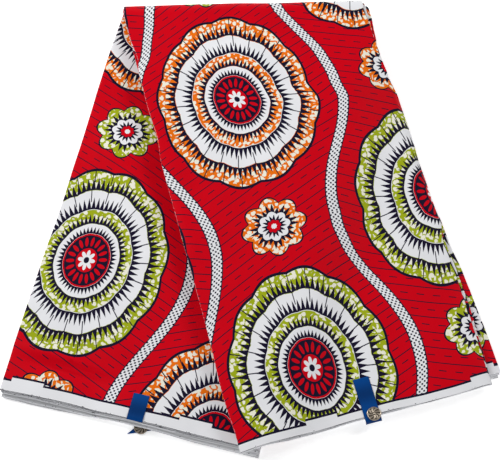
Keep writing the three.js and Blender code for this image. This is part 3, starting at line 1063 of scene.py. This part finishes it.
def smooth_path(path, count):
    """The path's points at even steps along a curve through them."""
    knots = np.stack([path["past"], path["above"]], axis=-1)
    steps = np.linalg.norm(np.diff(knots, axis=0), axis=1)
    reach = np.concatenate([[0], np.cumsum(steps)])
    at = np.linspace(0, reach[-1], count)
    slopes = np.gradient(knots, reach, axis=0)
    place = np.clip(np.searchsorted(reach, at, side="right") - 1, 0, len(reach) - 2)
    width = (reach[place + 1] - reach[place])[:, None]
    t = (at - reach[place])[:, None] / width
    between_knots = lerp(knots[place], knots[place + 1], ease(0, 1, t))
    bend = slopes[place] * (1 - t) - slopes[place + 1] * t
    return between_knots + width * t * (1 - t) * bend, at


def ribbon_piece(name, grid, aside, at, material):
    """A ribbon from a grid of its middle's points, from its hidden end to its free one."""
    places = np.stack([aside, at], axis=-1)
    return mesh_piece(name, [(grid[::-1] + FOLD_LINE, places[::-1], RIBBON_SHELL)], material)


RIBBON_COLUMNS = np.linspace(-0.5, 0.5, 17)[None, :]


def ribbon(name, path, place, material, rows=60):
    """A ribbon along a path; place turns across, past and above into points."""
    points, at = smooth_path(path, rows)
    aside = RIBBON_COLUMNS * RIBBON_WIDTH + 0 * at[:, None]
    above = points[:, 1:] - RIBBON_CURL * (2 * RIBBON_COLUMNS) ** 4
    grid = place(RIBBON_ACROSS + aside, points[:, :1] + 0 * aside, above)
    return ribbon_piece(name, grid, aside, at[:, None] + 0 * aside, material)


def ribbon_tail(name, material, rows=40):
    """The tail that lies askew on the floor, its free end cut on the slant."""
    share = np.linspace(1, 0, rows)[:, None]
    aside = (RIBBON_COLUMNS + 0.5) * RIBBON_WIDTH + 0 * share
    cut = TAIL_CUT * (RIBBON_COLUMNS + 0.5)
    back = cut + (TAIL_LENGTH - cut) * share
    across = TAIL_CORNER[0] + aside * math.cos(TAIL_SKEW) + back * math.sin(TAIL_SKEW)
    past = TAIL_CORNER[1] + aside * math.sin(TAIL_SKEW) - back * math.cos(TAIL_SKEW)
    grid = on_back_leg(across, LEG + past, 0 * across)
    rise = TAIL_RISE * ease(*TAIL_RISE_SPAN, past)
    grid[..., 2] = RIBBON_SHELL / 2 + TAIL_CLEARANCE + rise
    return ribbon_piece(name, grid, aside - RIBBON_WIDTH / 2, back, material)


SEAL_RINGS, SEAL_SPOKES = 29, 144
FLUTES, FLUTE_TWIST = 9, 8
# Spans of the seal's relief, as shares of its radius.
FIELD_SPANS = ((0.16, 0.3), (0.9, 0.78))
RIM_SPANS = ((0.84, 0.9), (1.0, 0.95))
BOSS_SPAN = (0.2, 0.08)
EDGE_SPAN = (1.0, 0.93)
SEAL_BASE, SEAL_EDGE, SEAL_RELIEF = 0.35, 0.3, 0.35  # shares of its height
WOBBLES, WOBBLE = 5, 0.015  # the seal isn't quite round


def seal_ridges(radii, angles):
    """How far the flutes, the rim and the boss stand out, from 0 to 1."""
    flutes = 0.5 + 0.5 * np.sin(FLUTES * angles + FLUTE_TWIST * radii)
    ridges = over_both(FIELD_SPANS, radii) * flutes + over_both(RIM_SPANS, radii)
    return np.clip(ridges + ease(*BOSS_SPAN, radii), 0, 1)


def seal(name, node, tilt, material):
    """A round seal: a raised rim and curved flutes that turn about a small boss."""
    low, high = (np.array(corner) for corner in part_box(node))
    centre = (low + high) / 2
    wall = high[2] - low[2]
    radii = np.linspace(0, 1, SEAL_RINGS + 1)[1:, None]
    angles = np.linspace(0, 2 * math.pi, SEAL_SPOKES + 1)[None, :-1]
    ridges = seal_ridges(radii, angles)
    height = wall * (SEAL_BASE + SEAL_EDGE * ease(*EDGE_SPAN, radii) + SEAL_RELIEF * ridges)
    reach = SEAL_RADIUS * radii * (1 + WOBBLE * np.sin(WOBBLES * angles + 1) * radii)
    top = np.stack([reach * np.cos(angles), reach * np.sin(angles), height], axis=-1)
    under = top[-1] * [1, 1, 0]
    vertices = np.concatenate([top.reshape(-1, 3), under, [[0, 0, wall], [0, 0, 0]]])

    number = np.arange(SEAL_RINGS * SEAL_SPOKES).reshape(SEAL_RINGS, SEAL_SPOKES)
    after = np.roll(number, -1, axis=1)
    under_number, under_after = number[-1] + SEAL_SPOKES, after[-1] + SEAL_SPOKES
    top_middle = (SEAL_RINGS + 1) * SEAL_SPOKES
    faces = quads(number[:-1], number[1:], after[1:], after[:-1]).tolist()
    faces += quads(number[-1], under_number, under_after, after[-1]).tolist()
    faces += [(top_middle, int(a), int(b)) for a, b in zip(number[0], after[0])]
    faces += [(top_middle + 1, int(b), int(a)) for a, b in zip(under_number, under_after)]
    placed = vertices @ np.array(Euler(tilt).to_matrix()).T + [centre[0], centre[1], low[2]]
    mesh = bpy.data.meshes.new(name)
    mesh.from_pydata(placed.tolist(), [], faces)
    # The ridge heights go into the Cloth map for the foil's painted highlight and shade.
    shades = np.concatenate([ridges.ravel(), np.zeros(SEAL_SPOKES), [1, 0]])
    turns = np.concatenate([np.tile(np.linspace(0, 6, SEAL_SPOKES), SEAL_RINGS + 1), [0, 0]])
    return finished_piece(name, mesh, np.stack([shades, turns], axis=-1), SHARP_FOIL, material)


def front_ribbon_place(across, past, above):
    end = LEG + np.interp(RIBBON_ACROSS, FRONT_ENDS["across"], FRONT_ENDS["first"])
    return on_front_leg(across, end + past, -RIBBON_LIFT - above)


def back_ribbon_place(across, past, above):
    return on_back_leg(across, LEG + past, STACK + RIBBON_LIFT + above)


# ---- Camera, light and floor ----

IMAGE_WIDTH = 500
SENSOR = 36.0
FOCAL_PIXELS = 1380.5
CAMERA_ELEVATION = math.radians(64.91)
CAMERA_DISTANCE = 1708.3 * MM
CAMERA_ROLL = math.radians(-1.848)
CAMERA_TARGET = np.array([3.0, -299.2, 0.0]) * MM


def add_camera():
    data = bpy.data.cameras.new("camera")
    data.sensor_width = SENSOR
    data.sensor_fit = "HORIZONTAL"
    data.lens = FOCAL_PIXELS * SENSOR / IMAGE_WIDTH
    camera = new_object("camera", data)
    back = Vector((0, -math.cos(CAMERA_ELEVATION), math.sin(CAMERA_ELEVATION)))
    camera.location = Vector(FOLD_LINE + CAMERA_TARGET) + CAMERA_DISTANCE * back
    look = (-back).to_track_quat("-Z", "Y")
    camera.rotation_euler = (look @ Euler((0, 0, CAMERA_ROLL)).to_quaternion()).to_euler()
    bpy.context.scene.camera = camera


FLOOR_REACH = 8.0
FLOOR_GAP = 0.25 * MM  # room for the thicker selvages under the lowest layer
FLOOR_LOOK = {
    "Base Color": (0.9, 0.9, 0.9, 1),
    "Roughness": 0.9,
    "Specular IOR Level": 0.0,
    "Emission Color": (1, 1, 1, 1),
    "Emission Strength": 0.5,
}
LIGHTS = (
    # name, place, size, watts
    ("left_softbox", (-1.4, 0.9, 1.4), 1.0, 36),
    ("right_softbox", (1.45, 0.7, 1.4), 1.0, 16.5),
    ("front_softbox", (0.3, -2.2, 0.75), 1.5, 13),
)


def add_light(name, place, size, watts):
    data = bpy.data.lights.new(name, "AREA")
    data.shape = "DISK"
    data.size = size
    data.energy = watts
    light = new_object(name, data)
    light.location = place
    light.rotation_euler = (-Vector(place)).to_track_quat("-Z", "Y").to_euler()


def add_surroundings():
    floor_mesh = bpy.data.meshes.new("floor")
    signs = ((-1, -1), (1, -1), (1, 1), (-1, 1))
    corners = [(x * FLOOR_REACH, y * FLOOR_REACH, -FLOOR_GAP) for x, y in signs]
    floor_mesh.from_pydata(corners, [], [(0, 1, 2, 3)])
    floor = new_object("floor", floor_mesh)
    material, _, shader = new_material("floor")
    for socket, value in FLOOR_LOOK.items():
        shader.inputs[socket].default_value = value
    floor_mesh.materials.append(material)

    for light in LIGHTS:
        add_light(*light)
    world = bpy.data.worlds.new("studio")
    world.use_nodes = True
    background = world.node_tree.nodes["Background"]
    background.inputs["Color"].default_value = (1, 1, 1, 1)
    background.inputs["Strength"].default_value = 0.25
    bpy.context.scene.world = world
    bpy.context.scene.view_settings.view_transform = "Standard"


# ---- The whole object ----

add_camera()
add_surroundings()

cotton = wax_print_cotton()
satin_blue = satin()
foil = gold_foil()

FINE = {"column_spacing": 4 * MM, "row_spacing": 4.6 * MM, "turn_steps": 26}
COARSE = {"column_spacing": 9.5 * MM, "row_spacing": 10 * MM, "turn_steps": 14}

CLOTH = [
    ("outer_sheet", "outer_panel", [1, 2], FINE),
    ("outer_stack", "outer_layers", range(3, GROUP_SPLIT + 1), COARSE),
    ("inner_stack", "inner_layers", range(GROUP_SPLIT + 1, LAYERS - 1), COARSE),
    ("inner_sheet", "inner_panel", [LAYERS - 1, LAYERS], FINE),
]
for name, node, layers, spacing in CLOTH:
    piece = cloth_piece(name, layers, cotton, **spacing)
    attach(piece, "root")
    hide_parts(node)

front_ribbon = ribbon("front_ribbon", FRONT_RIBBON_PATH, front_ribbon_place, satin_blue)
back_ribbon = ribbon("back_ribbon", BACK_RIBBON_PATH, back_ribbon_place, satin_blue)
tail = ribbon_tail("back_ribbon_tail", satin_blue)

RIBBONS = [
    (front_ribbon, "ribbon_front", path_length(FRONT_RIBBON_PATH), "outer_sheet"),
    (back_ribbon, "ribbon_back", path_length(BACK_RIBBON_PATH), "inner_sheet"),
    (tail, "ribbon_back_tail", TAIL_LENGTH - TAIL_CUT / 2, "floor"),
]
for piece, node, length, under in RIBBONS:
    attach(piece, "root")
    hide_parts(node)

SEALS = [
    ("front_seal", "seal_front", (math.radians(-3), 0, FRONT_SPLAY)),
    ("back_seal", "seal_back", (0, math.radians(2), -BACK_SPLAY)),
]
for name, node, tilt in SEALS:
    piece = seal(name, node, tilt, foil)
    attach(piece, "root")
    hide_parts(node)
